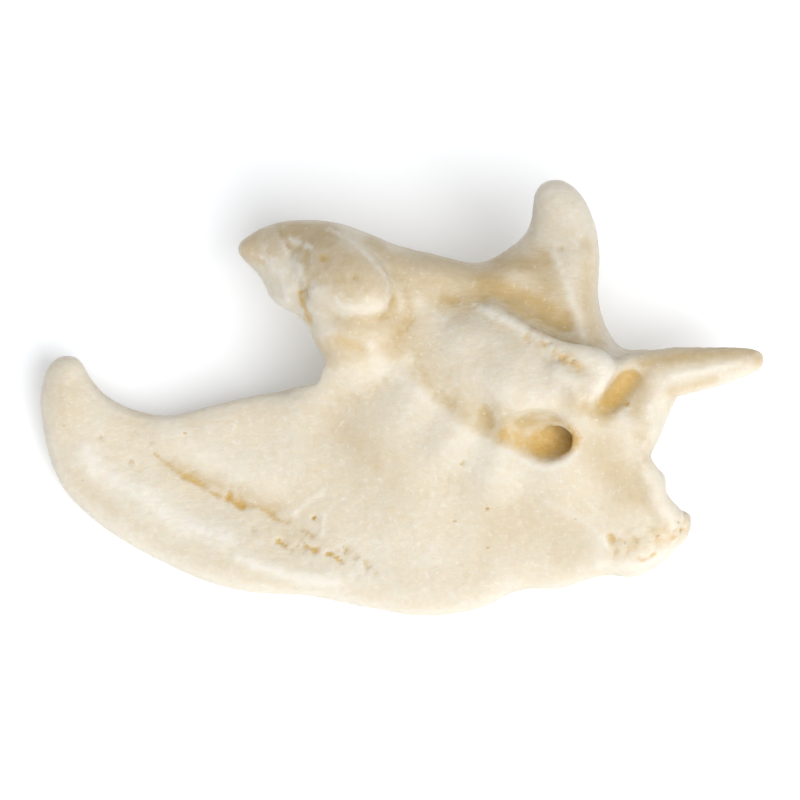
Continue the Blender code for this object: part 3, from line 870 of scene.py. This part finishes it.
@dataclass(frozen=True)
class Crumbs:
    """Crumbs of spongy bone that stand in the porous fields."""

    density: float = 0.9e6
    size_mm: float = 0.11
    least: tuple[float, float, float] = (0.45, 0.45, 0.35)
    most: tuple[float, float, float] = (1.5, 1.0, 0.8)
    sharpness: float = 3.0
    seed: int = SEED + 4

    def tree(self) -> bpy.types.GeometryNodeTree:
        """Build the tree that sets a flattened ball at each scattered point.

        Returns:
            The tree, which gives the crumbs alone.
        """
        sizes = {"Density": self.density, "Size": self.size_mm * MM}
        board = geometry_board("Crumbs of spongy bone", self.seed, sizes)
        scatter = board.scatter(board.math("POWER", board.spongy(), self.sharpness))
        ball = board.add("GeometryNodeMeshIcoSphere", {"Subdivisions": 2, "Radius": board.given("Size")})
        size = board.add("FunctionNodeRandomValue", {"Min": self.least, "Max": self.most,
                                                     "Seed": board.given("Seed")}, data_type="FLOAT_VECTOR")
        spin = board.add("ShaderNodeCombineXYZ", {"Z": board.random(0.0, math.tau)})
        feeds = {"Rotation": scatter.outputs["Rotation"], "Rotate By": spin.outputs[0]}
        turned = board.add("FunctionNodeRotateRotation", feeds, rotation_space="LOCAL")
        feeds = {"Points": scatter.outputs["Points"], "Instance": ball.outputs["Mesh"],
                 "Rotation": turned.outputs[0], "Scale": size.outputs["Value"]}
        return board.finish(board.add("GeometryNodeInstanceOnPoints", feeds).outputs["Instances"])


def add_tree(item: bpy.types.Object, tree: bpy.types.GeometryNodeTree, material: bpy.types.Material) -> None:
    """Put a Geometry Nodes tree on an object with its material chosen.

    Args:
        item: The object.
        tree: The tree, with a Material input.
        material: The material that it sets.
    """
    modifier = item.modifiers.new(tree.name, "NODES")
    modifier.node_group = tree
    for socket in tree.interface.items_tree:
        if socket.item_type == "SOCKET" and socket.in_out == "INPUT" and socket.name == "Material":
            modifier[socket.identifier] = material


@dataclass(frozen=True)
class BoneFinish:
    """The colours and the sheen of dry bone.

    The stain masks, where the tan and the ochre also carry painted shade, come from
    the surface's attributes, and the grain and painted glints from noise on Object coordinates.
    """

    name: str
    cream: tuple[float, float, float] = (0.715, 0.655, 0.535)
    peach: tuple[float, float, float] = (0.700, 0.610, 0.460)
    # Tan, yellow and brown also colour painted shade through the tan and ochre masks, and yellow a painted
    # glow in the side canal.
    tan: tuple[float, float, float] = (0.535, 0.400, 0.205)
    chalk: tuple[float, float, float] = (0.780, 0.740, 0.655)
    yellow: tuple[float, float, float] = (0.600, 0.395, 0.120)
    brown: tuple[float, float, float] = (0.500, 0.290, 0.070)
    roughness: float = 0.42
    refraction: float = 1.5
    gloss: float = 0.32
    softness: float = 0.30
    soft_colours: tuple[float, float, float] = (1.0, 0.6, 0.3)
    soft_depth: float = 0.0012
    grain_scale: float = 2600.0
    grain_depth: float = 0.0001
    grain_strength: float = 0.70

    def material(self) -> bpy.types.Material:
        """Build the material.

        Returns:
            A Principled material fed by the shared groups.
        """
        material = bpy.data.materials.new(self.name)
        material.use_nodes = True
        board = Board(material.node_tree)
        place = board.add("ShaderNodeTexCoord").outputs["Object"]
        feeds = {"Place": place}
        for word in COLOURS:
            feeds[word] = (*getattr(self, word.lower()), 1.0)
        for word in ("ochre", "chalk", "tan", "pit"):
            mask = board.add("ShaderNodeAttribute", attribute_name=word).outputs["Fac"]
            feeds[f"{word.capitalize()} Mask"] = mask
        colour = board.add("ShaderNodeGroup", feeds, node_tree=stain_shade_and_glint_group())
        feeds = {"Place": place, "Scale": self.grain_scale, "Roughness": self.roughness}
        grain = board.add("ShaderNodeGroup", feeds, node_tree=grain_group())
        feeds = {"Height": grain.outputs["Height"], "Strength": self.grain_strength,
                 "Distance": self.grain_depth}
        bump = board.add("ShaderNodeBump", feeds)
        shader = material.node_tree.nodes["Principled BSDF"]
        for name, value in (("Base Color", colour.outputs["Colour"]),
                            ("Roughness", grain.outputs["Roughness"]),
                            ("Normal", bump.outputs["Normal"]),
                            ("IOR", self.refraction),
                            ("Specular IOR Level", self.gloss),
                            ("Subsurface Weight", self.softness),
                            ("Subsurface Radius", self.soft_colours),
                            ("Subsurface Scale", self.soft_depth)):
            board.feed(shader.inputs[name], value)
        return material


def stain_shade_and_glint_group() -> bpy.types.NodeTree:
    """The shared group that colours bone by its stain masks, with painted shade in them, and adds painted
    glints.

    Returns:
        The group, built once.
    """
    if "Bone stains" in bpy.data.node_groups:
        return bpy.data.node_groups["Bone stains"]
    inputs = [("Place", "Vector")] + [(word, "Color") for word in COLOURS]
    inputs += [(f"{word} Mask", "Float") for word in ("Ochre", "Chalk", "Tan", "Pit")]
    board = new_board("Bone stains", "ShaderNodeTree", tuple(inputs), (("Colour", "Color"),))
    place = board.given("Place")
    cloud = board.noise(place, 130.0, 3.0, 0.55)
    mottle = board.noise(place, 620.0, 3.0, 0.55)
    fine = board.noise(place, 2100.0, 3.0, 0.6)
    base = board.given("Cream")
    for texture, low, high, share, word in (
            (cloud, 0.38, 0.66, 0.65, "Peach"), (mottle, 0.50, 0.66, 0.45, "Peach"),
            (mottle, 0.44, 0.32, 0.25, "Chalk"), (fine, 0.54, 0.68, 0.35, "Chalk"),
            (fine, 0.46, 0.32, 0.10, "Tan")):
        base = board.mix(board.spread(texture, low, high, 0.0, share), base, board.given(word))
    # The tan mask carries stain and painted shade.
    patchy = board.spread(mottle, 0.34, 0.60, 0.80, 1.0)
    for word in ("Tan", "Chalk"):
        share = board.math("MULTIPLY", board.given(f"{word} Mask"), patchy)
        base = board.mix(share, base, board.given(word))
    # Painted glints: small white specks of chalk colour where the fine noise is high.
    base = board.mix(board.spread(fine, 0.60, 0.72, 0.0, 0.40), base, board.given("Chalk"))
    # The ochre is partly stain and partly painted shade and glow in deep places.
    stained_pit = board.math("MULTIPLY", board.given("Pit Mask"), 0.42)
    ochre = board.math("MAXIMUM", board.given("Ochre Mask"), stained_pit)
    stain = board.math("MULTIPLY", ochre, board.spread(fine, 0.36, 0.60, 0.72, 1.08))
    for low, high, word in ((0.08, 0.65, "Yellow"), (0.50, 1.10, "Brown")):
        base = board.mix(board.spread(stain, low, high, 0.0, 0.9), base, board.given(word))
    # Sparse specks: the brown ones are pin holes, the chalk ones are painted glints.
    sparse = board.spread(cloud, 0.48, 0.60, 0.0, 1.0)
    feeds = {"Vector": place, "Scale": (0.55, 1.0, 1.0), "Rotation": (0.0, 0.0, math.radians(40.0))}
    drawn_out = board.add("ShaderNodeMapping", feeds).outputs["Vector"]
    for scale, low, high, share, word in (
            (460.0, 0.03, 0.06, 0.6, "Brown"), (1500.0, 0.10, 0.22, 0.22, "Chalk")):
        feeds = {"Vector": drawn_out, "Scale": scale}
        specks = board.add("ShaderNodeTexVoronoi", feeds).outputs["Distance"]
        dots = board.math("MULTIPLY", board.spread(specks, low, high, share, 0.0), sparse)
        base = board.mix(dots, base, board.given(word))
    board.feed(board.leave.inputs["Colour"], base)
    return board.tree


def grain_group() -> bpy.types.NodeTree:
    """The shared group for the fine grain of bone.

    Returns:
        The group, built once.
    """
    if "Bone grain" in bpy.data.node_groups:
        return bpy.data.node_groups["Bone grain"]
    board = new_board("Bone grain", "ShaderNodeTree",
                      (("Place", "Vector"), ("Scale", "Float"), ("Roughness", "Float")),
                      (("Height", "Float"), ("Roughness", "Float")))
    place = board.given("Place")
    stretch = board.add("ShaderNodeMapping", {"Vector": place, "Scale": (0.45, 1.0, 1.0)}).outputs["Vector"]
    fibre = board.noise(stretch, board.given("Scale"), 5.0, 0.65)
    dimples = board.add("ShaderNodeTexVoronoi", {"Vector": place, "Scale": 1500.0},
                        feature="SMOOTH_F1").outputs["Distance"]
    board.feed(board.leave.inputs["Height"], board.math("MULTIPLY_ADD", dimples, 0.5, fibre))
    rough = board.math("ADD", board.given("Roughness"), board.spread(fibre, 0.30, 0.70, -0.10, 0.16))
    board.feed(board.leave.inputs["Roughness"], rough)
    return board.tree


@dataclass
class Studio:
    """The floor, the lights and the camera."""

    pose: Matrix
    field_mm: float = 68.0
    distance_mm: float = 600.0
    floor_size: float = 3.0
    floor_colour: tuple[float, float, float] = (0.94, 0.955, 0.98)
    glow_colour: tuple[float, float, float] = (0.97, 0.99, 1.0)
    floor_glow: float = 0.17
    sky: float = 0.47

    def camera(self) -> None:
        """Look square at the median plane, with the bone's V axis up in the picture."""
        data = bpy.data.cameras.new("camera")
        data.sensor_width = 36.0
        data.lens = data.sensor_width * self.distance_mm / self.field_mm
        data.clip_start = 0.01
        data.clip_end = 20.0
        item = bpy.data.objects.new("camera", data)
        bpy.context.scene.collection.objects.link(item)
        item.matrix_world = self.pose @ Matrix.Translation((0.0, 0.0, self.distance_mm * MM))
        bpy.context.scene.camera = item

    def floor(self) -> None:
        """A plain pale floor under the bone, softly lit from below as on a light table."""
        shape = bmesh.new()
        bmesh.ops.create_grid(shape, x_segments=1, y_segments=1, size=self.floor_size / 2.0)
        mesh = bpy.data.meshes.new("floor")
        shape.to_mesh(mesh)
        shape.free()
        item = bpy.data.objects.new("floor", mesh)
        bpy.context.scene.collection.objects.link(item)
        material = bpy.data.materials.new("pale floor")
        material.use_nodes = True
        shader = material.node_tree.nodes["Principled BSDF"]
        for name, value in (("Base Color", (*self.floor_colour, 1.0)), ("Roughness", 0.9),
                            ("Specular IOR Level", 0.1), ("Emission Color", (*self.glow_colour, 1.0)),
                            ("Emission Strength", self.floor_glow)):
            shader.inputs[name].default_value = value
        mesh.materials.append(material)

    def area(self, name: str, towards: tuple[float, float, float], size: float, power: float) -> None:
        """Add a soft light that looks at the bone.

        Args:
            name: The light's name.
            towards: Where it is in the picture: right, up and out of it, in metres.
            size: The length of its side.
            power: Its power in watts.
        """
        place = self.pose.to_3x3() @ Vector(towards)
        data = bpy.data.lights.new(name, "AREA")
        data.shape = "SQUARE"
        data.size = size
        data.energy = power
        item = bpy.data.objects.new(name, data)
        bpy.context.scene.collection.objects.link(item)
        item.location = place
        item.rotation_euler = (-place).to_track_quat("-Z", "Y").to_euler()

    def light(self) -> None:
        """Soft light from the lower right of the picture, and an even white world."""
        world = bpy.data.worlds.new("studio")
        bpy.context.scene.world = world
        world.use_nodes = True
        sky = world.node_tree.nodes["Background"]
        sky.inputs["Color"].default_value = (1.0, 1.0, 1.0, 1.0)
        sky.inputs["Strength"].default_value = self.sky
        self.area("key", (0.27, -0.26, 0.71), 0.72, 6.2)
        self.area("low light", (0.50, -0.70, 0.35), 0.40, 0.3)
        settings = bpy.context.scene.view_settings
        settings.view_transform = "Standard"
        settings.look = "None"
        settings.exposure = 0.0
        settings.gamma = 1.0


@dataclass
class Vertebra:
    """The whole bone: its surface and the crumbs on it."""

    pose: Matrix

    def build(self) -> None:
        """Make the surface, cut its pores and set its crumbs."""
        finish = BoneFinish("dry bone").material()
        marks = blade_marks() + facet_marks() + body_marks() + rear_marks()
        skin_maker = BoneSkin(self.pose, marks=marks)
        skin = skin_maker.rough_out()
        skin_maker.work(skin)
        crumbs = self.crumbs(skin)
        add_tree(skin, PoreCutter().tree(), finish)
        settle(skin)
        skin.data.shade_smooth()
        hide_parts(NODE)
        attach(skin, BODY)
        LOG.info("bone surface: %d faces", len(skin.data.polygons))
        LOG.info("crumbs: %d faces", len(crumbs.data.polygons))

    def crumbs(self, skin: bpy.types.Object) -> bpy.types.Object:
        """Set crumbs of spongy bone over the porous fields.

        Args:
            skin: The worked surface, with its masks.

        Returns:
            The crumbs as one mesh object.
        """
        item = bpy.data.objects.new("spongy_crumbs", skin.data.copy())
        bpy.context.scene.collection.objects.link(item)
        finish = BoneFinish("spongy bone", cream=(0.78, 0.73, 0.61), roughness=0.55).material()
        add_tree(item, Crumbs().tree(), finish)
        settle(item)
        item.data.shade_smooth()
        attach(item, BODY)
        return item


def main() -> None:
    """Load the frame, dress the bone, and set the studio."""
    logging.basicConfig(level=logging.INFO, format="%(message)s")
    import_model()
    pose = BonePose().matrix()
    Vertebra(pose).build()
    studio = Studio(pose)
    studio.floor()
    studio.light()
    studio.camera()


if __name__ == "__main__":
    main()
